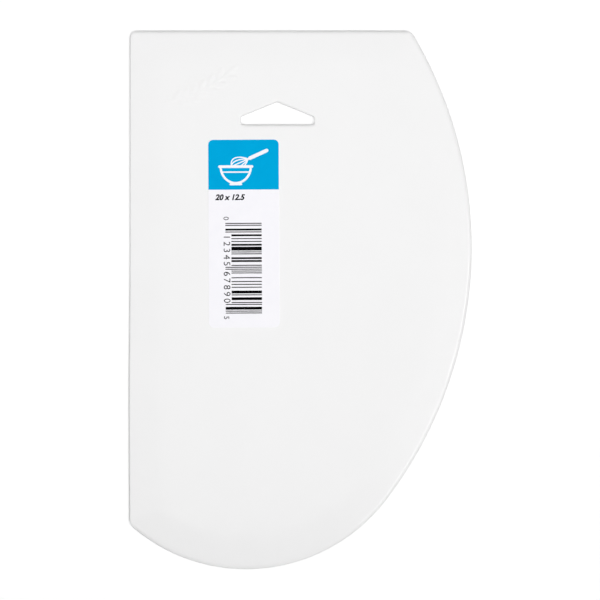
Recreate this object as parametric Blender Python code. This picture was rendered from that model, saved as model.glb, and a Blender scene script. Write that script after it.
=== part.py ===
"""Bowl scraper: a flexible moulded blade with a hang hole, and the retail label stuck on its face.

Sizes are in metres and +Z is up. The blade lies on its flat back. The origin is under the middle
of the blade's box. The straight edge is at -X, the curved edge at +X, and the top edge, which the
hang hole is near, at +Y.
"""

import math

import bmesh
import bpy

# The blade's outline
BLADE_LENGTH = 0.197  # from the top edge to the foot of the end arc
BLADE_WIDTH = 0.1255  # from the straight edge to the widest point of the curved side
WIDEST_FROM_TOP = 0.0794  # from the top edge down to the widest point
TOP_SET_BACK = 0.0223  # from the widest point back to the sharp top right corner
SIDE_STAND_OUT = 0.0182  # how far the widest point stands out past the end arc
CORNER_RISE = 0.0165  # from the foot of the end arc up to the sharp lower left corner
TOP_LEFT_RADIUS = 0.0029
TOP_RIGHT_RADIUS = 0.0044
LOWER_LEFT_RADIUS = 0.0055

# The blade's section: a flat back, a level middle, and a face that falls away to a round rim
BLADE_THICKNESS = 0.0020
TAPER_WIDTH = 0.0124  # the band in which the face falls away
TAPER_DROP = 0.0006  # how much thinner the rim is than the middle
TAPER_CORNER_RADIUS = 0.0010  # the corners of the level middle
RIM_RADIUS = 0.0006  # rounding of the rim and of the hang hole's edges
RIM_SHARE = 0.45  # the most of a wall that the rounding of one of its edges takes

# The hang hole: a foot, two low sides and two slopes, its peak towards the top edge
HOLE_WIDTH = 0.0268
HOLE_HEIGHT = 0.0081  # from its foot up to where the slopes would meet
HOLE_SIDE_HEIGHT = 0.0026  # from its foot up to where a side would meet its slope
HOLE_FOOT_RADIUS = 0.0012
HOLE_SIDE_RADIUS = 0.0008  # where a side meets its slope
HOLE_PEAK_RADIUS = 0.0010
HOLE_FROM_TOP = 0.0262  # from the top edge down to where the slopes would meet
HOLE_FROM_STRAIGHT_EDGE = 0.0543  # from the straight edge to the peak

# The label
LABEL_WIDTH = 0.0257
LABEL_LENGTH = 0.0685
LABEL_THICKNESS = 0.00012
LABEL_CORNER_RADIUS = 0.0018
LABEL_BELOW_HOLE = 0.0058
LABEL_FROM_STRAIGHT_EDGE = 0.0294
LABEL_TURN = math.radians(0.3)  # it was stuck on a little askew
ADHESIVE_THICKNESS = 0.00002  # the glue line, which stays open between the two solids

# How finely the curves are cut
END_ARC_STEPS = 18
SIDE_ARC_STEPS = 28
CORNER_STEPS = 6
RIM_STEPS = 4
SHARP_ANGLE = math.radians(35)

# Finishes
BLADE_COLOUR = (0.90, 0.90, 0.895, 1.0)
BLADE_ROUGHNESS = 0.45
LABEL_COLOUR = (0.93, 0.925, 0.96, 1.0)
LABEL_ROUGHNESS = 0.35

QUARTER_TURN = math.pi / 2
HALF_TURN = math.pi
FULL_TURN = 2 * math.pi


def clear_scene():
    for thing in list(bpy.data.objects):
        bpy.data.objects.remove(thing)


def plain_material(name, colour, roughness):
    material = bpy.data.materials.new(name)
    material.use_nodes = True
    shader = material.node_tree.nodes["Principled BSDF"]
    shader.inputs["Base Color"].default_value = colour
    shader.inputs["Roughness"].default_value = roughness
    shader.inputs["Metallic"].default_value = 0.0
    return material


def arc(centre, radius, start, end, steps, with_end=False):
    """Points along an arc, without its last one unless with_end asks for it."""
    count = steps + 1 if with_end else steps
    angles = [start + (end - start) * i / steps for i in range(count)]
    return [(centre[0] + radius * math.cos(a), centre[1] + radius * math.sin(a)) for a in angles]


def angle_from(centre, point):
    return math.atan2(point[1] - centre[1], point[0] - centre[0])


def blade_outline(inset, top_left, top_right, lower_left):
    """The outline moved in by inset, with those corner radii, anticlockwise from the lower left.

    The end arc runs into the lower side arc, and that into the upper one. Both side arcs stand
    upright at the widest point, so each one's radius follows from what it has to reach.
    """
    left = -BLADE_WIDTH / 2
    right = BLADE_WIDTH / 2
    top = BLADE_LENGTH / 2
    foot = -BLADE_LENGTH / 2
    widest = top - WIDEST_FROM_TOP

    # The end arc touches the foot, passes through the lower left corner and stops short of the
    # widest point by SIDE_STAND_OUT.
    reach = BLADE_WIDTH - SIDE_STAND_OUT
    end_radius = reach + CORNER_RISE - math.sqrt(2 * reach * CORNER_RISE)
    end_centre = (left + reach - end_radius, foot + end_radius)

    # The lower side arc touches the end arc, and the upper one meets the top right corner.
    rise = widest - end_centre[1]
    lower_radius = end_radius + (SIDE_STAND_OUT**2 + rise**2) / (2 * SIDE_STAND_OUT)
    upper_radius = (TOP_SET_BACK**2 + WIDEST_FROM_TOP**2) / (2 * TOP_SET_BACK)
    lower_centre = (right - lower_radius, widest)
    upper_centre = (right - upper_radius, widest)
    meeting = angle_from(lower_centre, end_centre)

    # Everything moves in by inset, and the three corners are rounded there.
    left += inset
    top -= inset
    end_radius -= inset
    lower_radius -= inset
    upper_radius -= inset

    x = left + lower_left
    drop = math.sqrt((end_radius - lower_left) ** 2 - (x - end_centre[0]) ** 2)
    lower_left_centre = (x, end_centre[1] - drop)
    end_arc_start = angle_from(end_centre, lower_left_centre)

    y = top - top_right
    run = math.sqrt((upper_radius - top_right) ** 2 - (y - widest) ** 2)
    top_right_centre = (upper_centre[0] + run, y)
    side_arc_end = angle_from(upper_centre, top_right_centre)

    top_left_centre = (left + top_left, top - top_left)

    # The foot and the widest point are points of their own, so the box has its exact size.
    points = arc(lower_left_centre, lower_left, -HALF_TURN, end_arc_start, CORNER_STEPS)
    points += arc(end_centre, end_radius, end_arc_start, -QUARTER_TURN, END_ARC_STEPS)
    points += arc(end_centre, end_radius, -QUARTER_TURN, meeting, END_ARC_STEPS)
    points += arc(lower_centre, lower_radius, meeting, 0.0, SIDE_ARC_STEPS)
    points += arc(upper_centre, upper_radius, 0.0, side_arc_end, SIDE_ARC_STEPS)
    points += arc(top_right_centre, top_right, side_arc_end, QUARTER_TURN, CORNER_STEPS, with_end=True)
    points += arc(top_left_centre, top_left, QUARTER_TURN, HALF_TURN, CORNER_STEPS, with_end=True)
    return points


def rounded_polygon(corners, outset=0.0):
    """Anticlockwise points round corners of (x, y, radius), made wider all round by outset."""
    points = []
    for i, (x, y, radius) in enumerate(corners):
        before = corners[i - 1]
        after = corners[(i + 1) % len(corners)]
        arriving = angle_from(before, (x, y))
        turn = (angle_from((x, y), after) - arriving) % FULL_TURN
        inward = arriving + QUARTER_TURN + turn / 2
        away = radius / math.cos(turn / 2)
        centre = (x + away * math.cos(inward), y + away * math.sin(inward))
        start = arriving - QUARTER_TURN
        points += arc(centre, radius + outset, start, start + turn, CORNER_STEPS, with_end=True)
    return points


def hole_outline(outset):
    """The hang hole's outline made wider all round by outset, from its lower right corner."""
    middle = HOLE_FROM_STRAIGHT_EDGE - BLADE_WIDTH / 2
    left = middle - HOLE_WIDTH / 2
    right = middle + HOLE_WIDTH / 2
    peak = BLADE_LENGTH / 2 - HOLE_FROM_TOP
    foot = peak - HOLE_HEIGHT
    side_top = foot + HOLE_SIDE_HEIGHT
    corners = (
        (right, foot, HOLE_FOOT_RADIUS),
        (right, side_top, HOLE_SIDE_RADIUS),
        (middle, peak, HOLE_PEAK_RADIUS),
        (left, side_top, HOLE_SIDE_RADIUS),
        (left, foot, HOLE_FOOT_RADIUS),
    )
    return rounded_polygon(corners, outset)


def rounded_rectangle(width, length, radius):
    """Points of a rectangle with round corners, about its own middle."""
    x = width / 2
    y = length / 2
    return rounded_polygon(((x, -y, radius), (x, y, radius), (-x, y, radius), (-x, -y, radius)))


def rim_rounding(thickness):
    """(how far in, how high) down a wall that thick with both its edges rounded, from its top."""
    radius = min(RIM_RADIUS, RIM_SHARE * thickness)
    quarter = [QUARTER_TURN * i / RIM_STEPS for i in range(RIM_STEPS + 1)]
    upper = [
        (radius - radius * math.sin(a), thickness - radius + radius * math.cos(a)) for a in quarter
    ]
    lower = [(radius - radius * math.cos(a), radius - radius * math.sin(a)) for a in quarter]
    return upper + lower


def add_loop(mesh, outline, height):
    """The vertices and edges of a closed loop at that height."""
    vertices = [mesh.verts.new((x, y, height)) for x, y in outline]
    edges = [mesh.edges.new((a, b)) for a, b in zip(vertices, vertices[1:] + vertices[:1])]
    return vertices, edges


def skin(mesh, loops):
    """Bands of faces from each loop to the next, point to point."""
    for (one, _), (other, _) in zip(loops, loops[1:]):
        for i in range(len(one)):
            mesh.faces.new((one[i - 1], one[i], other[i], other[i - 1]))


def finished_object(name, mesh, material):
    bmesh.ops.recalc_face_normals(mesh, faces=mesh.faces)
    data = bpy.data.meshes.new(name)
    mesh.to_mesh(data)
    mesh.free()
    data.shade_smooth()
    data.set_sharp_from_angle(angle=SHARP_ANGLE)
    data.materials.append(material)
    made = bpy.data.objects.new(name, data)
    bpy.context.scene.collection.objects.link(made)
    return made


def blade_loops(mesh):
    """The loop round the level middle, then the rim's loops from the face to the back."""
    middle = blade_outline(TAPER_WIDTH, TAPER_CORNER_RADIUS, TAPER_CORNER_RADIUS, TAPER_CORNER_RADIUS)
    loops = [add_loop(mesh, middle, BLADE_THICKNESS)]
    for inset, height in rim_rounding(BLADE_THICKNESS - TAPER_DROP):
        outline = blade_outline(
            inset, TOP_LEFT_RADIUS - inset, TOP_RIGHT_RADIUS - inset, LOWER_LEFT_RADIUS - inset
        )
        loops.append(add_loop(mesh, outline, height))
    return loops


def hole_loops(mesh):
    """The hang hole's loops, from the face to the back."""
    return [
        add_loop(mesh, hole_outline(outset), height)
        for outset, height in rim_rounding(BLADE_THICKNESS)
    ]


def make_blade():
    """Rim and hole walls, closed by a flat face and a flat back that the hole goes through."""
    mesh = bmesh.new()
    rim = blade_loops(mesh)
    hole = hole_loops(mesh)
    skin(mesh, rim)
    skin(mesh, hole)
    for side in (0, -1):
        edges = rim[side][1] + hole[side][1]
        bmesh.ops.triangle_fill(mesh, use_beauty=True, edges=edges)
    material = plain_material("blade_plastic", BLADE_COLOUR, BLADE_ROUGHNESS)
    return finished_object("blade", mesh, material)


def make_label():
    """A thin sheet glued on the level middle of the blade, below the hang hole."""
    mesh = bmesh.new()
    outline = rounded_rectangle(LABEL_WIDTH, LABEL_LENGTH, LABEL_CORNER_RADIUS)
    back = add_loop(mesh, outline, 0.0)
    face = add_loop(mesh, outline, LABEL_THICKNESS)
    skin(mesh, (back, face))
    for vertices, _ in (back, face):
        mesh.faces.new(vertices)
    material = plain_material("label_paper", LABEL_COLOUR, LABEL_ROUGHNESS)
    label = finished_object("label", mesh, material)
    hole_foot = BLADE_LENGTH / 2 - HOLE_FROM_TOP - HOLE_HEIGHT
    x = LABEL_FROM_STRAIGHT_EDGE + LABEL_WIDTH / 2 - BLADE_WIDTH / 2
    y = hole_foot - LABEL_BELOW_HOLE - LABEL_LENGTH / 2
    label.location = (x, y, BLADE_THICKNESS + ADHESIVE_THICKNESS)
    label.rotation_euler = (0.0, 0.0, LABEL_TURN)
    return label


def main():
    clear_scene()
    make_blade()
    make_label()


main()
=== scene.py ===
import math

import bpy
import numpy as np
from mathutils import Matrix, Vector


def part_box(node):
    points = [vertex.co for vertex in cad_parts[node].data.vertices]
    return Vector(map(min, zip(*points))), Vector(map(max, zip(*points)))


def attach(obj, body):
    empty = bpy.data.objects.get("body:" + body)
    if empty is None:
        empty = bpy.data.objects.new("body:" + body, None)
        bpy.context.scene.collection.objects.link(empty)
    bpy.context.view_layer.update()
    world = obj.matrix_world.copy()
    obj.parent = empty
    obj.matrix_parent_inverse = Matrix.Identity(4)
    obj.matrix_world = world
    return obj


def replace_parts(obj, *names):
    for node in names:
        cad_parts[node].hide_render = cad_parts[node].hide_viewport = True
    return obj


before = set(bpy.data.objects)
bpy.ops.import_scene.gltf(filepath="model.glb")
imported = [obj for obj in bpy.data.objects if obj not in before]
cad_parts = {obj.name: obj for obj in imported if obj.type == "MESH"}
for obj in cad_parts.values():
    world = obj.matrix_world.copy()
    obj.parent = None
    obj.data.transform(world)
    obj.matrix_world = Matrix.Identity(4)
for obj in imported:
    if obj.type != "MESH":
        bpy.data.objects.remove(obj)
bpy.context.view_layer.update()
print("frame loaded:", sorted(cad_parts))

fullTurn = 2 * math.pi
halfTurn = math.pi
quarterTurn = math.pi / 2


# Camera, lights and stage

shot = dict(
    aimX=-0.00003,
    aimY=-0.00008,
    viewWidth=0.2194,
    viewHeight=0.0007,  # the view is that wide at the height of the rim's outermost points
    lens=100.0,
    sensor=36.0,
)
stage = dict(
    reach=4.0,  # half the floor's side
    floorDrop=0.0001,  # how far it lies under the blade's back
    floorWhite=0.6,
    floorLift=0.50,  # what the camera sees on top of the lit floor, so that it is white
    liftGrowsFrom=0.25,  # and further off, where the lamps light it less, that grows to 1
    liftGrowsTo=1.10,
    skyLevel=0.0,  # the sky gives the object no light
)
softboxes = dict(
    overhead=dict(aim=(-0.025, 0.066), azimuth=0, elevation=90, distance=0.48, size=(0.45, 0.45), share=0.24),
    canopy=dict(aim=(-0.040, 0.180), azimuth=0, elevation=90, distance=0.55, size=(0.90, 0.90), share=0.775),
    key=dict(aim=(0.0, 0.0), azimuth=-30, elevation=30, distance=2.2, size=(0.80, 0.80), share=0.092),
    fill=dict(aim=(0.0, 0.0), azimuth=150, elevation=55, distance=2.2, size=(0.80, 0.80), share=0.020),
    front=dict(aim=(0.0, 0.0), azimuth=-80, elevation=45, distance=2.2, size=(0.80, 0.80), share=0.085),
    strip=dict(aim=(0.0, 0.0), azimuth=-24, elevation=65, distance=1.6, size=(0.95, 0.08), share=0.175),
)
glossyBoxes = ("overhead", "canopy", "strip")  # the others are broad and soft, and leave no highlight


def addToScene(made):
    bpy.context.scene.collection.objects.link(made)
    return made


def grey(level):
    # a colour with all three channels at that level
    return (level, level, level, 1.0)


def setCamera():
    # distance = view width * lens / sensor
    data = bpy.data.cameras.new("camera")
    data.lens = shot["lens"]
    data.sensor_width = shot["sensor"]
    camera = addToScene(bpy.data.objects.new("camera", data))
    away = shot["viewWidth"] * shot["lens"] / shot["sensor"]
    camera.location = (shot["aimX"], shot["aimY"], shot["viewHeight"] + away)
    bpy.context.scene.camera = camera


def addSoftboxes():
    # place = aim + distance * direction; watts = share * pi^2 * distance^2 / sin(elevation), share being how
    # brightly a small box of that power lights a level white surface
    for name, box in softboxes.items():
        azimuth, elevation = math.radians(box["azimuth"]), math.radians(box["elevation"])
        level = math.cos(elevation)
        way = Vector((level * math.cos(azimuth), level * math.sin(azimuth), math.sin(elevation)))
        data = bpy.data.lights.new(name, "AREA")
        data.shape = "RECTANGLE"
        data.size, data.size_y = box["size"]
        data.energy = box["share"] * (math.pi * box["distance"]) ** 2 / way.z
        lamp = addToScene(bpy.data.objects.new(name, data))
        lamp.location = Vector((*box["aim"], 0.0)) + box["distance"] * way
        lamp.rotation_euler = way.to_track_quat("Z", "Y").to_euler()
        lamp.visible_camera = False
        lamp.visible_glossy = name in glossyBoxes


# Shader maths: a Signal wraps a socket, and a Board is one node tree that hands Signals out

noiseDark = 0.33  # nearly all of a noise texture lies between these two values
noiseLight = 0.67


class Signal:
    # + on Signals and numbers adds a Math node, and the reflected form lets the number come first
    def __init__(self, board, socket):
        self.board = board
        self.socket = socket

    def __add__(self, other):
        return self.board.maths("ADD", self, other)

    def __radd__(self, other):
        return self.board.maths("ADD", other, self)


class Board:
    def __init__(self, owner):
        owner.use_nodes = True
        self.tree = owner.node_tree

    def node(self, kind, settings=None, sockets=None, output=0):
        # adds a node: its settings first, then its sockets' values or links
        made = self.tree.nodes.new(kind)
        for name, value in (settings or {}).items():
            setattr(made, name, value)
        self.plug(made, sockets or {})
        return Signal(self, made.outputs[output])

    def plug(self, made, sockets):
        # links the sockets that get a Signal, and sets the others to their values
        for name, value in sockets.items():
            if isinstance(value, Signal):
                self.tree.links.new(value.socket, made.inputs[name])
            else:
                made.inputs[name].default_value = value

    def maths(self, operation, first, second):
        return self.node("ShaderNodeMath", {"operation": operation}, {0: first, 1: second})

    def mix(self, share, first, second):
        # a blend of two colours: sockets 6 and 7 are the colours of a Mix node set to colour
        return self.node("ShaderNodeMix", {"data_type": "RGBA"}, {0: share, 6: first, 7: second}, output=2)

    def clouds(self, scale, detail, low, high):
        # noise of that many waves a metre, its dark to light values spread over low to high
        place = self.node("ShaderNodeTexCoord", output="Object")
        noise = self.node("ShaderNodeTexNoise", None, {"Vector": place, "Scale": scale, "Detail": detail})
        return self.node("ShaderNodeMapRange", None, {0: noise, 1: noiseDark, 2: noiseLight, 3: low, 4: high})

    def bump(self, height, distance, under=None):
        # metres of relief at a height of 1, on top of another relief where there is one
        sockets = {"Strength": 1.0, "Distance": distance, "Height": height}
        if under is not None:
            sockets["Normal"] = under
        return self.node("ShaderNodeBump", None, sockets)

    def seenDirectly(self):
        # 1 for the rays that show a background: those of the camera, of reflections and through glass
        rays = ("Is Camera Ray", "Is Glossy Ray", "Is Transmission Ray")
        first, second, third = [self.node("ShaderNodeLightPath", output=ray) for ray in rays]
        return first + second + third


def makeFinish(name, fixed, varying):
    # a Principled material: fixed holds its plain socket values, varying makes its linked ones
    material = bpy.data.materials.new(name)
    board = Board(material)
    shader = board.tree.nodes["Principled BSDF"]
    board.plug(shader, fixed)
    board.plug(shader, varying(board))
    return material


def makeFloor():
    # one quad just under the blade, white to the camera and still darker in the blade's shadow
    r = stage["reach"]
    low = -stage["floorDrop"]
    mesh = bpy.data.meshes.new("floor")
    mesh.from_pydata([(-r, -r, low), (r, -r, low), (r, r, low), (-r, r, low)], [], [(0, 1, 2, 3)])

    def parts(board):
        place = board.node("ShaderNodeTexCoord", output="Object")
        away = board.node("ShaderNodeVectorMath", {"operation": "LENGTH"}, {0: place}, output="Value")
        growth = {0: away, 1: stage["liftGrowsFrom"], 2: stage["liftGrowsTo"]}
        grown = board.node("ShaderNodeMapRange", None, growth)
        lifted = board.mix(grown, grey(stage["floorLift"]), grey(1.0))
        return {"Emission Color": board.mix(board.seenDirectly(), grey(0.0), lifted)}

    fixed = {"Base Color": grey(stage["floorWhite"]), "Specular IOR Level": 0.0, "Emission Strength": 1.0}
    mesh.materials.append(makeFinish("floor_white", fixed, parts))
    addToScene(bpy.data.objects.new("floor", mesh))


def setSky():
    # no light on the object, and white to the rays that show a background
    world = bpy.data.worlds.new("sky")
    board = Board(world)
    colour = board.mix(board.seenDirectly(), grey(stage["skyLevel"]), grey(1.0))
    board.plug(board.tree.nodes["Background"], {"Color": colour, "Strength": 1.0})
    bpy.context.scene.world = world


# Meshes

sharpAngle = math.radians(35)  # an edge that turns by more than this is shaded sharp


def makeMesh(name, points, faceSets, materials, slotSets):
    # points (n, 3) and arrays of faces, each array with its own number of corners, straight into a mesh
    corners = np.concatenate([faces.ravel() for faces in faceSets])
    sizes = np.concatenate([np.full(len(faces), faces.shape[1]) for faces in faceSets])
    mesh = bpy.data.meshes.new(name)
    mesh.vertices.add(len(points))
    mesh.vertices.foreach_set("co", points.astype(np.float32).ravel())
    mesh.loops.add(len(corners))
    mesh.loops.foreach_set("vertex_index", corners.astype(np.int32))
    mesh.polygons.add(len(sizes))
    mesh.polygons.foreach_set("loop_start", (np.cumsum(sizes) - sizes).astype(np.int32))
    for material in materials:
        mesh.materials.append(material)
    mesh.polygons.foreach_set("material_index", np.concatenate(slotSets).astype(np.int32))
    mesh.update(calc_edges=True)
    mesh.validate()
    mesh.shade_smooth()
    mesh.set_sharp_from_angle(angle=sharpAngle)
    return addToScene(bpy.data.objects.new(name, mesh))


def arcRun(centre, radius, start, end, shares):
    # centre + radius (cos a, sin a) with a = start + share (end - start), and the outward normals
    a = start + (end - start) * shares
    normal = np.stack((np.cos(a), np.sin(a)), axis=1)
    return np.asarray(centre) + radius * normal, normal


def lineRun(start, end, shares, normal):
    # start + share (end - start), each point with the line's own normal
    points = np.asarray(start) + shares[:, None] * (np.asarray(end) - np.asarray(start))
    return points, np.tile(normal, (len(shares), 1))


def steps(*stretches):
    # shares from 0 up to 1, the last left out: each stretch goes on to its own end in its own number of steps
    ends = [0.0] + [end for end, _ in stretches]
    runs = [np.linspace(start, end, count, endpoint=False) for start, (end, count) in zip(ends, stretches)]
    return np.concatenate(runs)


def heading(centre, point):
    # the angle, anticlockwise from +X, at which point is seen from centre
    return math.atan2(point[1] - centre[1], point[0] - centre[0])


def smoothStep(t):
    # 3 t^2 - 2 t^3, and level before 0 and after 1
    t = np.clip(t, 0, 1)
    return t * t * (3 - 2 * t)


# Blade finish: satin white plastic with a fine moulded grain

plastic = dict(
    light=(0.902, 0.900, 0.901, 1.0),
    deep=(0.892, 0.890, 0.891, 1.0),
    roughLow=0.13,
    roughHigh=0.19,
    refraction=1.5,
    cloudScale=45.0,  # broad clouds of tone, in waves a metre as the next three
    cloudDetail=3.0,
    smearScale=160.0,  # changes of roughness
    smearDetail=4.0,
    swellScale=210.0,  # low swellings of the face
    swellDetail=1.0,
    swellDepth=0.000012,
    grainScale=2600.0,  # moulded grain
    grainDetail=3.0,
    grainDepth=0.0000022,
    grainTone=0.12,  # share of the tone that the grain makes
    grainToneDetail=2.0,
)


def plasticParts(board):
    # tone = broad clouds + a little of the grain, and relief = grain on top of the swellings
    p = plastic
    tone = board.clouds(p["cloudScale"], p["cloudDetail"], 0.0, 1 - p["grainTone"])
    tone += board.clouds(p["grainScale"], p["grainToneDetail"], 0.0, p["grainTone"])
    swell = board.bump(board.clouds(p["swellScale"], p["swellDetail"], 0.0, 1.0), p["swellDepth"])
    grain = board.clouds(p["grainScale"], p["grainDetail"], 0.0, 1.0)
    return {
        "Base Color": board.mix(tone, p["light"], p["deep"]),
        "Roughness": board.clouds(p["smearScale"], p["smearDetail"], p["roughLow"], p["roughHigh"]),
        "Normal": board.bump(grain, p["grainDepth"], swell),
    }


# Blade shape: one closed surface, whose points run round the outline and whose rings run round the section

bladeLow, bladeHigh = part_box("blade")
blade = dict(
    left=bladeLow.x + 0.00007,  # the lower part of the straight edge, which the flare leaves where it is
    right=bladeHigh.x,
    foot=bladeLow.y,
    top=bladeHigh.y,
    thickness=bladeHigh.z,
    widestFromTop=0.0794,
    topSetBack=0.0223,  # how far in from the widest point the top's right end would be, unrounded
    sideStandOut=0.0182,  # how far the lower side arc stands out past the end arc
    cornerRise=0.0165,  # how far the lower left corner is above the foot
    topLeftRadius=0.0029,
    topRightRadius=0.0044,
    lowerLeftRadius=0.0055,
    taperWidth=0.0124,
    taperDrop=0.0006,
    taperCornerRadius=0.0010,
    taperSoftness=0.0015,  # the face takes about this far to start falling
    rimRise=0.00075,  # height of the rim's upper rounding
    topRimRise=0.00114,  # steeper along the top edge
    flaredRimRise=0.00045,  # and slacker where the straight edge is set in
    rimReach=0.00172,  # how far in it comes along the curved edge
    straightRimReach=0.0007,  # along the straight edge, which is crisper
    topRimReach=0.00175,  # and along the top edge, which is slacker
    cornerEase=0.55,  # share by which the rounding is less high at the middle of a corner
    cornerReach=0.0025,  # and how far from there that fades out
    facingPower=4,  # how fast a rounding that one edge has for itself fades round the corners
    rimUnder=0.00045,  # rounding under the rim
    flare=0.00041,  # how much further out the lower part of the straight edge is
    flareFrom=-0.036,
    flareTo=0.020,
    flareFade=0.020,  # how far into the face that is felt
    footBend=0.00013,  # the straight edge also bends in a little over its last stretch
    footBendFrom=-0.045,
    footBendTo=-0.078,
    waveHeight=0.00003,
    waves=((0.061, 0.9), (0.083, 2.3), (0.047, 4.0)),  # length, and the way that it runs in radians
)
hole = dict(
    middle=bladeLow.x + 0.0543,
    peak=bladeHigh.y - 0.0262,  # where the two slopes would meet
    height=0.0081,
    leftReach=0.01322,  # from under the peak to either side
    rightReach=0.01364,
    leftSideHeight=0.00268,
    rightSideHeight=0.0026,
    footRadius=0.0012,
    sideRadius=0.0008,
    peakRadius=0.0010,
    roundingReach=0.0008,  # width of the upper edge's rounding
    roundingRise=0.00045,  # and its height
    rightRoundingRise=0.00022,  # which is less at the right side
    rightFade=0.0030,
    footRoundingReach=0.0012,  # along the foot the rounding is wider
    footRoundingRise=0.0014,  # and higher
    footFade=0.0006,
    underRounding=0.0005,  # rounding of the lower edge
    centreDrop=0.6,  # share of the height that the centre lies under the peak
    traceSteps=400,  # points on each arc and each straight stretch while the outline is traced
    tracedOut=0.001,  # how wide of the edge the outline is traced again, for the way outwards
)
holeCentre = np.array((hole["middle"], hole["peak"] - hole["centreDrop"] * hole["height"]))
bladeSteps = dict(
    corner=steps((1.0, 14)),
    endArc=steps((1.0, 80)),
    lowerArc=steps((1.0, 77)),
    upperArc=steps((0.35, 22), (0.65, 42), (1.0, 22)),  # closer abreast of the hole's right end
    topLine=steps((1.0, 190)),
    leftLine=steps((0.22, 80), (1.0, 105)),  # and closer beside the sprig and the hole's left end
    taper=12,
    face=76,
    holeRounding=6,
    back=16,
    rimUnder=6,
    rimUpper=9,
)


def bladeOutline(inset, topLeft, topRight, lowerLeft):
    # the outline moved in by inset, anticlockwise from the lower left corner: end arc, two side arcs, top
    # line and straight edge, with rounded corners of the given radii. End radius = reach + rise -
    # sqrt(2 reach rise), as the arc touches the foot and passes through the lower left corner. Both side
    # arcs stand upright at the widest point: lower radius = end radius + (out^2 + up^2) / (2 out), upper
    # radius = (back^2 + height^2) / (2 back)
    b, s = blade, bladeSteps
    widest = b["top"] - b["widestFromTop"]
    reach = b["right"] - b["left"] - b["sideStandOut"]
    endRadius = reach + b["cornerRise"] - math.sqrt(2 * reach * b["cornerRise"])
    endCentre = (b["left"] + reach - endRadius, b["foot"] + endRadius)
    up = widest - endCentre[1]
    lowerRadius = endRadius + (b["sideStandOut"] ** 2 + up**2) / (2 * b["sideStandOut"])
    upperRadius = (b["topSetBack"] ** 2 + b["widestFromTop"] ** 2) / (2 * b["topSetBack"])
    lowerCentre = (b["right"] - lowerRadius, widest)
    upperCentre = (b["right"] - upperRadius, widest)
    meeting = heading(lowerCentre, endCentre)

    left = b["left"] + inset
    top = b["top"] - inset
    x = left + lowerLeft
    drop = math.sqrt((endRadius - inset - lowerLeft) ** 2 - (x - endCentre[0]) ** 2)
    lowerLeftCentre = (x, endCentre[1] - drop)
    arcStart = heading(endCentre, lowerLeftCentre)
    y = top - topRight
    out = math.sqrt((upperRadius - inset - topRight) ** 2 - (y - widest) ** 2)
    topRightCentre = (upperCentre[0] + out, y)
    arcEnd = heading(upperCentre, topRightCentre)
    topLeftCentre = (left + topLeft, top - topLeft)
    runs = (
        arcRun(lowerLeftCentre, lowerLeft, -halfTurn, arcStart, s["corner"]),
        arcRun(endCentre, endRadius - inset, arcStart, meeting, s["endArc"]),
        arcRun(lowerCentre, lowerRadius - inset, meeting, 0.0, s["lowerArc"]),
        arcRun(upperCentre, upperRadius - inset, 0.0, arcEnd, s["upperArc"]),
        arcRun(topRightCentre, topRight, arcEnd, quarterTurn, s["corner"]),
        lineRun((topRightCentre[0], top), (topLeftCentre[0], top), s["topLine"], (0.0, 1.0)),
        arcRun(topLeftCentre, topLeft, quarterTurn, halfTurn, s["corner"]),
        lineRun((left, topLeftCentre[1]), (left, lowerLeftCentre[1]), s["leftLine"], (-1.0, 0.0)),
    )
    return np.concatenate([run[0] for run in runs]), np.concatenate([run[1] for run in runs])


def holeCorners():
    # (x, y, radius) of the sharp corners, anticlockwise from the lower right
    h = hole
    left, right = h["middle"] - h["leftReach"], h["middle"] + h["rightReach"]
    foot = h["peak"] - h["height"]
    return [
        (right, foot, h["footRadius"]),
        (right, foot + h["rightSideHeight"], h["sideRadius"]),
        (h["middle"], h["peak"], h["peakRadius"]),
        (left, foot + h["leftSideHeight"], h["sideRadius"]),
        (left, foot, h["footRadius"]),
    ]


def holeRing(outset, headings):
    # the hole's outline made wider by outset, traced closely and read off as a distance from the hole's
    # centre along each heading. A corner's arc has its centre radius / cos(turn / 2) in, half way between
    # its edges
    corners = holeCorners()
    shares = np.linspace(0, 1, hole["traceSteps"])
    arcs = []
    for before, (x, y, radius), after in zip(corners[-1:] + corners[:-1], corners, corners[1:] + corners[:1]):
        arriving = heading(before, (x, y))
        turn = (heading((x, y), after) - arriving) % fullTurn
        inward = arriving + quarterTurn + turn / 2
        away = radius / math.cos(turn / 2)
        centre = (x + away * math.cos(inward), y + away * math.sin(inward))
        start = arriving - quarterTurn
        arcs.append(arcRun(centre, radius + outset, start, start + turn, shares)[0])
    loop = []
    for arc, following in zip(arcs, arcs[1:] + arcs[:1]):
        loop += [arc, lineRun(arc[-1], following[0], shares, (0.0, 0.0))[0]]
    loop = np.concatenate(loop) - holeCentre
    traced = np.arctan2(loop[:, 1], loop[:, 0])
    away = np.interp(headings, traced, np.hypot(loop[:, 0], loop[:, 1]), period=fullTurn)
    return holeCentre + away[:, None] * np.stack((np.cos(headings), np.sin(headings)), axis=1)


# Raised sprig, moulded into the face in the upper left corner: a stem with a grain at each step up its sides

sprig = dict(
    path=((-0.0488, 0.0724), (-0.0385, 0.0730), (-0.0246, 0.0838)),
    grains=13,
    firstGrain=0.22,  # share of the stem that is bare
    grainLength=0.0025,  # half a grain's length and width
    grainWidth=0.0011,
    grainLean=0.55,  # how far a grain turns out from the stem's way, in radians
    grainOut=0.0018,  # how far its middle is from the stem
    grainPower=0.6,
    stemWidth=0.0006,  # half the stem's width
    stemShare=0.8,  # the stem's height as a share of a grain's
    stemSteps=90,
    wayStep=0.001,  # share of the stem either way, over which its way is measured
    height=0.000135,
)


def bezier(points, t):
    # sum of binomial(n, i) t^i (1 - t)^(n - i) times each point
    n = len(points) - 1
    weights = [math.comb(n, i) * t**i * (1 - t) ** (n - i) for i in range(n + 1)]
    return sum(weight[:, None] * np.asarray(point) for weight, point in zip(weights, points))


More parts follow.
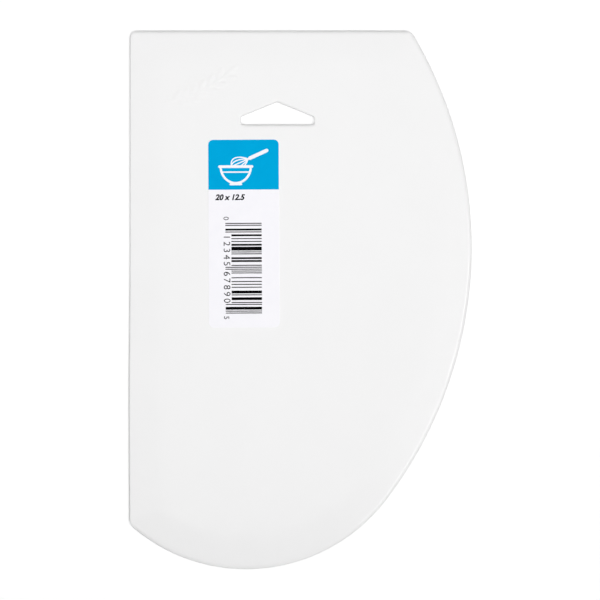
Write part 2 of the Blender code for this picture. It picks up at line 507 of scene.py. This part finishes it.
def sprigHeight(x, y):
    # inside its ellipse a grain is (1 - (along / length)^2 - (across / width)^2)^power, and the stem is a
    # ridge, 1 - (gap / width)^2; the higher of the two stands
    s = sprig
    t = np.linspace(s["firstGrain"], 1.0, s["grains"])
    centre = bezier(s["path"], t)
    tangent = bezier(s["path"], t + s["wayStep"]) - bezier(s["path"], t - s["wayStep"])
    way = np.arctan2(tangent[:, 1], tangent[:, 0])
    side = np.where(np.arange(s["grains"]) % 2 == 0, 1.0, -1.0)
    side[-1] = 0.0  # the last grain sits on the stem's tip
    centre += (s["grainOut"] * side)[:, None] * np.stack((-np.sin(way), np.cos(way)), axis=1)
    turned = way + s["grainLean"] * side
    dx = x[:, None] - centre[:, 0]
    dy = y[:, None] - centre[:, 1]
    along = (dx * np.cos(turned) + dy * np.sin(turned)) / s["grainLength"]
    across = (dy * np.cos(turned) - dx * np.sin(turned)) / s["grainWidth"]
    grain = np.clip(1 - along**2 - across**2, 0, None) ** s["grainPower"]
    stem = bezier(s["path"], np.linspace(0, 1, s["stemSteps"]))
    gap = np.min(np.hypot(x[:, None] - stem[:, 0], y[:, None] - stem[:, 1]), axis=1)
    ridge = s["stemShare"] * np.clip(1 - (gap / s["stemWidth"]) ** 2, 0, None)
    return s["height"] * np.maximum(grain.max(axis=1), ridge)


def faceWave(x, y):
    # how far the moulded face lies below level: a mean of sines, never above zero
    waves = blade["waves"]
    total = 0.0
    for length, way in waves:
        total = total + np.sin(fullTurn * (x * math.cos(way) + y * math.sin(way)) / length)
    return blade["waveHeight"] * (total / len(waves) - 1) / 2


def flared(y):
    # how much of the flare there is at a height y: none at flareFrom, all from flareTo on
    return smoothStep((y - blade["flareFrom"]) / (blade["flareTo"] - blade["flareFrom"]))


def rimRounding(outer, normal):
    # reach and rise of the rim's upper rounding at each point of the outline: the curved edge's own, mixed by
    # (normal up)^power with the top edge's and by (normal left)^power with the straight edge's. The rise is
    # less by the corner ease at the middle of each of the three corners
    b, s = blade, bladeSteps
    facingTop = np.clip(normal[:, 1], 0, 1) ** b["facingPower"]
    facingLeft = np.clip(-normal[:, 0], 0, 1) ** b["facingPower"]
    reach = b["rimReach"] + (b["topRimReach"] - b["rimReach"]) * facingTop
    reach += (b["straightRimReach"] - b["rimReach"]) * facingLeft
    rise = b["rimRise"] + (b["topRimRise"] - b["rimRise"]) * facingTop
    rise += (b["flaredRimRise"] - b["rimRise"]) * (flared(outer[:, 1]) * facingLeft)
    runs = ("corner", "endArc", "lowerArc", "upperArc", "corner", "topLine", "corner")
    ends = np.cumsum([len(s[run]) for run in runs])
    count = len(s["corner"])
    middles = [end - count + count // 2 for run, end in zip(runs, ends) if run == "corner"]
    toMiddle = outer[:, None] - outer[middles]
    gap = np.hypot(toMiddle[..., 0], toMiddle[..., 1]).min(axis=1)
    rise *= 1 - b["cornerEase"] * smoothStep(1 - gap / b["cornerReach"])
    return reach, rise


def holeMouth(edge, headings):
    # the ring round the hole where its upper edge's rounding starts, and that rounding's height: the mouth is
    # edge + width * (the way outwards). Both grow near the foot, and the height falls off near the right side
    h = hole
    nearFoot = smoothStep(1 - (edge[:, 1] - (h["peak"] - h["height"])) / h["footFade"])
    nearRight = smoothStep(1 - (h["middle"] + h["rightReach"] - edge[:, 0]) / h["rightFade"])
    wide = h["roundingReach"] + (h["footRoundingReach"] - h["roundingReach"]) * nearFoot
    deep = h["roundingRise"] + (h["rightRoundingRise"] - h["roundingRise"]) * nearRight
    deep += (h["footRoundingRise"] - deep) * nearFoot
    mouth = edge + (wide / h["tracedOut"])[:, None] * (holeRing(h["tracedOut"], headings) - edge)
    return mouth, deep


def bladeRings():
    # (ring, point, 3): in over the face to the hole, down its wall, out over the back, and up the rim. All
    # roundings are quarter ellipses, and the rim's starts where its slope is the taper's
    b, s = blade, bladeSteps
    outer, normal = bladeOutline(0.0, b["topLeftRadius"], b["topRightRadius"], b["lowerLeftRadius"])
    corner = b["taperCornerRadius"]
    inner, _ = bladeOutline(b["taperWidth"], corner, corner, corner)
    headings = np.arctan2(inner[:, 1] - holeCentre[1], inner[:, 0] - holeCentre[0])
    rings = []

    def ring(points, height):
        rings.append(np.column_stack((points, np.broadcast_to(height, len(points)))))

    reach, rise = rimRounding(outer, normal)
    rimTop = b["thickness"] - b["taperDrop"]
    first = np.arctan(b["taperDrop"] / b["taperWidth"] * reach / rise)
    shoulder = outer - (reach * (1 - np.sin(first)))[:, None] * normal
    shoulderHeight = rimTop - rise * (1 - np.cos(first))

    # the face falls by hypot(s, soft) - soft, s being the way outwards from the level middle
    soft = b["taperSoftness"]
    full = math.hypot(b["taperWidth"], soft) - soft
    for t in np.linspace(0, 1, s["taper"], endpoint=False):
        fall = (math.hypot(b["taperWidth"] * (1 - t), soft) - soft) / full
        ring(shoulder + t * (inner - shoulder), b["thickness"] - fall * (b["thickness"] - shoulderHeight))

    # the hole's upper edge, its wall and its lower edge
    edge = holeRing(0.0, headings)
    mouth, deep = holeMouth(edge, headings)
    for t in np.linspace(0, 1, s["face"], endpoint=False):
        ring(inner + t * (mouth - inner), b["thickness"])
    for a in np.linspace(0, quarterTurn, s["holeRounding"]):
        ring(mouth + math.sin(a) * (edge - mouth), b["thickness"] - deep * (1 - math.cos(a)))
    r = hole["underRounding"]
    for a in np.linspace(0, quarterTurn, s["holeRounding"], endpoint=False):
        ring(holeRing(r * (1 - math.cos(a)), headings), r * (1 - math.sin(a)))

    # the back, and up the rim
    mouth = holeRing(r, headings)
    under = outer - b["rimUnder"] * normal
    for t in np.linspace(0, 1, s["back"], endpoint=False):
        ring(mouth + t * (under - mouth), 0.0)
    for a in np.linspace(quarterTurn, 0, s["rimUnder"]):
        ring(outer - b["rimUnder"] * (1 - math.cos(a)) * normal, b["rimUnder"] * (1 - math.sin(a)))
    for t in np.linspace(1, 0, s["rimUpper"], endpoint=False):
        a = first + t * (quarterTurn - first)
        ring(outer - (reach * (1 - np.sin(a)))[:, None] * normal, rimTop - rise * (1 - np.cos(a)))
    return np.stack(rings)


def makeBlade():
    # the rings, with the straight edge moved in by flare and foot bend, both fading into the face, and with
    # wave and sprig on the face, fading to none at the back
    points = bladeRings()
    b = blade
    x, y, z = points[..., 0], points[..., 1], points[..., 2]
    nearEdge = np.clip(1 - (x - b["left"]) / b["flareFade"], 0, 1)
    moved = b["flare"] * flared(y)
    moved += b["footBend"] * smoothStep((y - b["footBendFrom"]) / (b["footBendTo"] - b["footBendFrom"]))
    x += moved * nearEdge
    relief = faceWave(x, y) + sprigHeight(x.ravel(), y.ravel()).reshape(x.shape)
    z += relief * z / b["thickness"]
    rings, around = x.shape
    v, u = np.divmod(np.arange(rings * around), around)
    nextV, nextU = (v + 1) % rings, (u + 1) % around
    corners = (v * around + u, v * around + nextU, nextV * around + nextU, nextV * around + u)
    faces = np.stack(corners, axis=1)
    white = makeFinish("white_plastic", {"Metallic": 0.0, "IOR": plastic["refraction"]}, plasticParts)
    slots = np.zeros(len(faces))
    piece = makeMesh("blade_moulding", points.reshape(-1, 3), [faces], [white], [slots])
    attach(piece, "root")
    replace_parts(piece, "blade")
    print("blade:", len(faces), "quads")


# Label: a paper sheet with a blue head, and its print in thin ink

labelLow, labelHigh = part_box("label")
label = dict(
    middle=((labelLow.x + labelHigh.x) / 2, (labelLow.y + labelHigh.y) / 2),
    turn=math.radians(0.3),
    width=0.0257,
    length=0.0685,
    radius=0.0018,
    low=bladeHigh.z + 0.000004,  # just clear of the face
    high=bladeHigh.z + 0.000124,
    headLength=0.0182,  # how far down the blue goes
    cornerRows=8,
    headRows=18,
    bodyRows=50,
    columns=27,
)
ink = dict(
    low=label["high"] + 0.0000008,
    high=label["high"] + 0.0000035,
    layer=0.0000005,  # how much higher each stroke stands than the one before it, as they may cross
    endSteps=7,  # points on the rounding at either end of a stroke
    strokeStep=0.0003,  # how far apart they are along it
    tip=0.05,  # share of its half width that a stroke keeps at its very end
    black=(0.0014, 0.0013, 0.0017, 1.0),
    blackWorn=(0.0040, 0.0038, 0.0045, 1.0),
    blackRoughness=0.40,
    blue=(0.0007, 0.425, 0.790, 1.0),
    blueDeep=(0.0005, 0.405, 0.768, 1.0),
    blueRoughness=0.34,
    paper=(0.955, 0.945, 0.985, 1.0),
    paperDeep=(0.935, 0.927, 0.970, 1.0),
    paperRoughness=0.38,
    roughnessSpread=0.04,
    toneScale=240.0,  # in waves a metre, as the next two
    toneDetail=4.0,
    smearScale=900.0,
    smearDetail=3.0,
    fibreScale=5200.0,
    fibreDetail=4.0,
    fibreDepth=0.0000025,
)
inkFixed = {"Metallic": 0.0, "Specular IOR Level": 0.0}  # flat print, which leaves no highlight


def onLabel(across, down):
    # a point given from the label's upper left corner, turned about the label's middle
    x = across - label["width"] / 2
    y = label["length"] / 2 - down
    c, s = math.cos(label["turn"]), math.sin(label["turn"])
    return label["middle"][0] + c * x - s * y, label["middle"][1] + s * x + c * y


def printedParts(light, deep, roughness):
    # paper or ink: two near tones in soft clouds, and a fine fibre in the relief
    spread = ink["roughnessSpread"]

    def parts(board):
        tone = board.clouds(ink["toneScale"], ink["toneDetail"], 0.0, 1.0)
        fibre = board.clouds(ink["fibreScale"], ink["fibreDetail"], 0.0, 1.0)
        smear = board.clouds(ink["smearScale"], ink["smearDetail"], roughness - spread, roughness + spread)
        return {
            "Base Color": board.mix(tone, light, deep),
            "Roughness": smear,
            "Normal": board.bump(fibre, ink["fibreDepth"]),
        }

    return parts


class Slabs:
    # gathers thin closed solids that lie on the label, and makes one mesh of them
    def __init__(self):
        self.points = []
        self.faceSets = []
        self.slotSets = []
        self.count = 0
        self.top = ink["high"]

    def keep(self, flat, low, high, faceSets, slots):
        # the first set's faces are the top and then the bottom; all are turned if the top faces down, which
        # shows in its area, the sum of the cross products of its faces' edges
        x, y = onLabel(flat[:, 0], flat[:, 1])
        lift = faceWave(x, y)
        top = faceSets[0][: len(faceSets[0]) // 2]
        ax, bx, cx = x[top[:, 0]], x[top[:, 1]], x[top[:, 2]]
        ay, by, cy = y[top[:, 0]], y[top[:, 1]], y[top[:, 2]]
        area = np.sum((bx - ax) * (cy - ay) - (by - ay) * (cx - ax))
        if area < 0:
            faceSets = [faces[:, ::-1] for faces in faceSets]
        self.points += [np.column_stack((x, y, high + lift)), np.column_stack((x, y, low + lift))]
        self.faceSets += [faces + self.count for faces in faceSets]
        self.slotSets += slots or [np.zeros(len(faces)) for faces in faceSets]
        self.count += 2 * len(flat)

    def grid(self, flat, low, high, topSlots=None):
        # flat (rows, columns, 2): quads for the top and the bottom, and a wall round the border
        rows, columns = flat.shape[:2]
        index = np.arange(rows * columns).reshape(rows, columns)
        near, far = index[:-1], index[1:]
        quads = np.stack((near[:, :-1], far[:, :-1], far[:, 1:], near[:, 1:]), axis=-1).reshape(-1, 4)
        border = np.concatenate((index[:-1, 0], index[-1, :-1], index[:0:-1, -1], index[0, :0:-1]))
        under = rows * columns
        walls = self.walls(border, np.roll(border, -1), under)
        slots = None
        if topSlots is not None:
            slots = [np.concatenate((topSlots, np.zeros(len(quads)))), np.zeros(len(walls))]
        sides = np.concatenate((quads, quads[:, ::-1] + under))
        self.keep(flat.reshape(-1, 2), low, high, [sides, walls], slots)

    def triangles(self, flat, faces, low, high):
        # flat triangles all turned one way; their border is the edges that only one of them has
        edges = np.concatenate((faces[:, [0, 1]], faces[:, [1, 2]], faces[:, [2, 0]]))
        _, inverse, uses = np.unique(np.sort(edges, axis=1), axis=0, return_inverse=True, return_counts=True)
        border = edges[uses[inverse.ravel()] == 1]
        under = len(flat)
        walls = self.walls(border[:, 0], border[:, 1], under)
        sides = np.concatenate((faces, faces[:, ::-1] + under))
        self.keep(flat, low, high, [sides, walls], None)

    def walls(self, start, end, under):
        # a quad from each border edge at the top down to the same edge at the bottom
        return np.stack((end, start, start + under, end + under), axis=1)

    def stroke(self, path, width):
        # a strip carried along path, its half width sqrt(h^2 - (h - s)^2) at a distance s under h from an end
        half = width / 2
        reach = np.concatenate(([0.0], np.cumsum(np.hypot(*np.diff(path, axis=0).T))))
        ends = half * (1 - np.cos(np.linspace(0, quarterTurn, ink["endSteps"])))
        middle = np.linspace(half, reach[-1] - half, 2 + int(reach[-1] / ink["strokeStep"]))
        s = np.concatenate((ends[:-1], middle, reach[-1] - ends[-2::-1]))
        centre = np.stack((np.interp(s, reach, path[:, 0]), np.interp(s, reach, path[:, 1])), axis=1)
        tangent = np.gradient(centre, s, axis=0)
        tangent /= np.hypot(tangent[:, 0], tangent[:, 1])[:, None]
        left = np.clip(half - np.minimum(s, reach[-1] - s), 0, half)
        out = np.maximum(np.sqrt(half**2 - left**2), ink["tip"] * half)
        side = np.stack((-tangent[:, 1], tangent[:, 0]), axis=1) * out[:, None]
        self.grid(np.stack((centre + side, centre - side), axis=1), ink["low"], self.top)
        self.top += ink["layer"]

    def piece(self, name, materials):
        # all that was gathered, as one mesh
        made = makeMesh(name, np.concatenate(self.points), self.faceSets, materials, self.slotSets)
        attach(made, "root")
        print(name + ":", sum(len(faces) for faces in self.faceSets), "faces")
        return made


def makeLabel():
    # rows down the label, half width = width / 2 - r + sqrt(r^2 - (r - down)^2) near its two ends
    n = label
    r = n["radius"]
    bend = r * (1 - np.cos(np.linspace(0, quarterTurn, n["cornerRows"])))
    head = np.linspace(r, n["headLength"], n["headRows"])[1:]
    body = np.linspace(n["headLength"], n["length"] - r, n["bodyRows"])[1:]
    down = np.concatenate((bend, head, body, n["length"] - bend[-2::-1]))
    end = np.minimum(np.minimum(down, n["length"] - down), r)
    half = n["width"] / 2 - r + np.sqrt(r**2 - (r - end) ** 2)
    across = n["width"] / 2 + half[:, None] * np.linspace(-1, 1, n["columns"])
    flat = np.stack((across, np.broadcast_to(down[:, None], across.shape)), axis=-1)
    blueRow = (down[:-1] + down[1:]) / 2 < n["headLength"]
    sheet = Slabs()
    sheet.grid(flat, n["low"], n["high"], np.repeat(blueRow, n["columns"] - 1))
    paperParts = printedParts(ink["paper"], ink["paperDeep"], ink["paperRoughness"])
    paper = makeFinish("label_paper", {"Metallic": 0.0}, paperParts)
    blueParts = printedParts(ink["blue"], ink["blueDeep"], ink["blueRoughness"])
    blue = makeFinish("label_blue", inkFixed, blueParts)
    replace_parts(sheet.piece("label_sheet", [paper, blue]), "label")
    return paper


# Head picture, drawn in lines: a mixing bowl with a whisk laid in it

motif = dict(
    rimY=0.0098,
    rimLeft=0.0036,
    rimRight=0.0164,
    rimLine=0.0010,
    bowlInset=0.0009,
    bowlDepth=0.0060,
    bowlLine=0.0008,
    bandDrop=0.0020,
    bandLine=0.0005,
    footWidth=0.0046,
    neck=(0.0146, 0.0070),  # where the whisk's wires leave its handle
    tip=(0.0086, 0.0097),
    handleEnd=(0.0219, 0.0037),
    handleLine=0.0013,
    wireLine=0.00042,
    wireSpreads=(-0.0023, -0.0012, 0.0, 0.0012, 0.0023),
    dropWidest=0.77,  # the largest value of sin a sin(a / 2)
    curveSteps=80,
)


def drawBowl(white):
    # the bowl is half an ellipse hung from its rim, with a band as wide as the ellipse is at that drop
    m = motif
    middle = (m["rimLeft"] + m["rimRight"]) / 2
    half = (m["rimRight"] - m["rimLeft"]) / 2 - m["bowlInset"]
    a = np.linspace(0, halfTurn, m["curveSteps"])
    white.stroke(np.array(((m["rimLeft"], m["rimY"]), (m["rimRight"], m["rimY"]))), m["rimLine"])
    side = np.stack((middle + half * np.cos(a), m["rimY"] + m["bowlDepth"] * np.sin(a)), axis=1)
    white.stroke(side, m["bowlLine"])
    bandHalf = half * math.sqrt(1 - (m["bandDrop"] / m["bowlDepth"]) ** 2)
    bandY = m["rimY"] + m["bandDrop"]
    white.stroke(np.array(((middle - bandHalf, bandY), (middle + bandHalf, bandY))), m["bandLine"])
    footY = m["rimY"] + m["bowlDepth"] + m["bowlLine"] / 2
    foot = np.array(((middle - m["footWidth"] / 2, footY), (middle + m["footWidth"] / 2, footY)))
    white.stroke(foot, m["bowlLine"])


def drawWhisk(white):
    # each wire is half a drop: along = (1 - cos a) / 2 and out = spread sin a sin(a / 2) / 0.77, with no part
    # of it under the bowl's rim
    m = motif
    neck, tip, end = (np.array(m[name]) for name in ("neck", "tip", "handleEnd"))
    along = tip - neck
    out = np.array((-along[1], along[0])) / math.hypot(*along)
    a = np.linspace(0, halfTurn, m["curveSteps"])
    for spread in m["wireSpreads"]:
        wide = spread * np.sin(a) * np.sin(a / 2) / m["dropWidest"]
        path = neck + ((1 - np.cos(a)) / 2)[:, None] * along + wide[:, None] * out
        path[:, 1] = np.minimum(path[:, 1], m["rimY"])
        white.stroke(path, m["wireLine"])
    white.stroke(np.stack((neck, end)), m["handleLine"])


# Bar code: a placeholder number in the usual retail code, read down the label, and the sheet's size above it

barCode = dict(
    digits="012345678905",
    guard="111",  # widths of bars and gaps in turn, in modules
    middleGuard="11111",
    start=0.03035,  # from the label's top
    module=0.0003478,
    near=0.00826,  # bars reach from here to far, measured from the label's left side
    nearTall=0.00607,  # and the tall ones from here
    far=0.01933,
    tallEnds=10,  # modules at either end where the bars are tall: the guard, and the first or last digit
    tallMiddle=6,  # and across the middle
    columns=9,  # points along a bar, so that it follows the face
    digitBase=0.00545,
    digitHeight=0.0024,
    endDigitHeight=0.0019,
    firstDigit=0.0287,
    leftDigits=(0.0355, 0.0452),
    rightDigits=(0.0489, 0.0587),
    lastDigit=0.0649,
)
# the gaps and bars of the digits 0 to 9, in modules
digitRuns = ("3211", "2221", "2122", "1411", "1132", "1231", "1114", "1312", "1213", "3112")
# the sheet's length and width in centimetres
sizeLine = dict(words="20 x 12.5", across=0.00245, baseline=0.0219, height=0.00192, slant=0.25, weight=0.042)
typeHeight = 0.69  # how high a digit of Blender's own typeface stands at size 1
typeSteps = 5  # how finely its curves are cut


def drawBars(black):
    # widths of bars and gaps in turn, each 1 to 4 modules: guard, half the digits, middle guard, the other
    # half, guard. A bar starts where the widths before it add up to
    c = barCode
    widths = [digitRuns[int(digit)] for digit in c["digits"]]
    half = len(widths) // 2
    turns = [c["guard"], *widths[:half], c["middleGuard"], *widths[half:], c["guard"]]
    runs = np.array([int(width) for width in "".join(turns)])
    ends = np.cumsum(runs)
    modules = ends[-1]
    across = np.linspace(0, 1, c["columns"])
    for start, end in zip((ends - runs)[::2], ends[::2]):
        fromEnd = min(start, modules - end)
        tall = fromEnd < c["tallEnds"] or abs((start + end) - modules) < c["tallMiddle"]
        near = c["nearTall"] if tall else c["near"]
        down = c["start"] + c["module"] * np.array((start, end))
        x = near + (c["far"] - near) * across
        flat = np.stack((np.tile(x, (2, 1)), np.repeat(down[:, None], len(across), axis=1)), axis=-1)
        black.grid(flat, ink["low"], ink["high"])


def typeset(words, slant=0.0, weight=0.0):
    # the words as flat triangles at size 1, in Blender's own typeface
    curve = bpy.data.curves.new("words", "FONT")
    curve.body = words
    curve.resolution_u = typeSteps
    curve.shear = slant
    curve.offset = weight
    holder = addToScene(bpy.data.objects.new("words", curve))
    bpy.context.view_layer.update()
    mesh = bpy.data.meshes.new_from_object(holder.evaluated_get(bpy.context.evaluated_depsgraph_get()))
    mesh.calc_loop_triangles()
    flat = np.zeros(len(mesh.vertices) * 3)
    mesh.vertices.foreach_get("co", flat)
    faces = np.zeros(len(mesh.loop_triangles) * 3, int)
    mesh.loop_triangles.foreach_get("vertices", faces)
    bpy.data.objects.remove(holder)
    bpy.data.curves.remove(curve)
    bpy.data.meshes.remove(mesh)
    return flat.reshape(-1, 3)[:, :2], faces.reshape(-1, 3)


def drawDigit(black, digit, middle, height):
    # a digit lies on its side, its top to the right, so its width runs down the label
    flat, faces = typeset(digit)
    size = height / typeHeight
    along = flat[:, 0] - (flat[:, 0].min() + flat[:, 0].max()) / 2
    placed = np.column_stack((barCode["digitBase"] + size * flat[:, 1], middle + size * along))
    black.triangles(placed, faces, ink["low"], ink["high"])


def drawDigits(black):
    # the first and last stand small beyond the bars, and half of the others evenly along each half of them
    c = barCode
    each = len(c["digits"]) // 2 - 1
    middles = np.concatenate((np.linspace(*c["leftDigits"], each), np.linspace(*c["rightDigits"], each)))
    drawDigit(black, c["digits"][0], c["firstDigit"], c["endDigitHeight"])
    for digit, middle in zip(c["digits"][1:-1], middles):
        drawDigit(black, digit, middle, c["digitHeight"])
    drawDigit(black, c["digits"][-1], c["lastDigit"], c["endDigitHeight"])


def drawSizeLine(black):
    # the size reads across the label: each point = the line's start + size * the letters' own point
    line = sizeLine
    flat, faces = typeset(line["words"], line["slant"], line["weight"])
    size = line["height"] / typeHeight
    placed = np.column_stack((line["across"] + size * flat[:, 0], line["baseline"] - size * flat[:, 1]))
    black.triangles(placed, faces, ink["low"], ink["high"])


def makePrint(paper):
    # the head picture is bare paper white on the blue, and all the rest is black
    white = Slabs()
    drawBowl(white)
    drawWhisk(white)
    white.piece("print_white", [paper])
    black = Slabs()
    drawSizeLine(black)
    drawBars(black)
    drawDigits(black)
    blackParts = printedParts(ink["black"], ink["blackWorn"], ink["blackRoughness"])
    black.piece("print_black", [makeFinish("label_black", inkFixed, blackParts)])


makeBlade()
makePrint(makeLabel())
makeFloor()
setSky()
addSoftboxes()
setCamera()
bpy.context.scene.view_settings.view_transform = "Standard"
print("stage:", len(softboxes), "lamps, floor, sky and camera")
